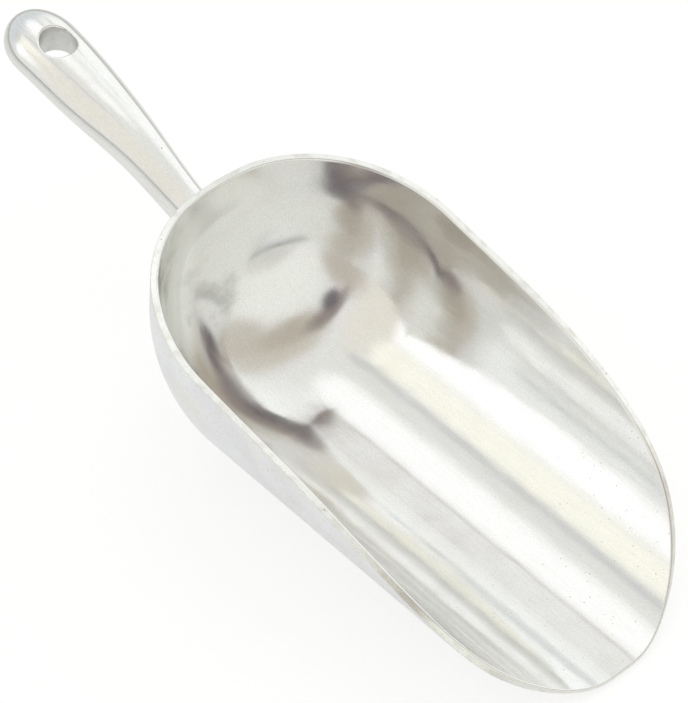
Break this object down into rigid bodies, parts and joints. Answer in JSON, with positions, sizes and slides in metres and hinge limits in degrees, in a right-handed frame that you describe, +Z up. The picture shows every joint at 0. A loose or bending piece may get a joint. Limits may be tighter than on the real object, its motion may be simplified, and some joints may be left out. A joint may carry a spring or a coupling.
{
  "type": "ice scoop",
  "caption": "Round-bottomed cast aluminium scoop: a deep open bowl with a sloping rim and a solid rising grip with a hanging hole.",
  "frame": {"origin": "on the surface that the keel rests on, below the middle of the overall length", "axes": "+X out of the mouth, +Y to the side, +Z up"},
  "size_m": [0.3098, 0.1204, 0.0831],
  "materials": {
    "bowl_metal": "polished inside, satin outside, ground rim",
    "root_metal": "satin",
    "grip_metal": "polished"
  },
  "bodies": {
    "root": {"bowl": "bowl_metal", "root": "root_metal", "grip": "grip_metal"}
  },
  "joints": []
}
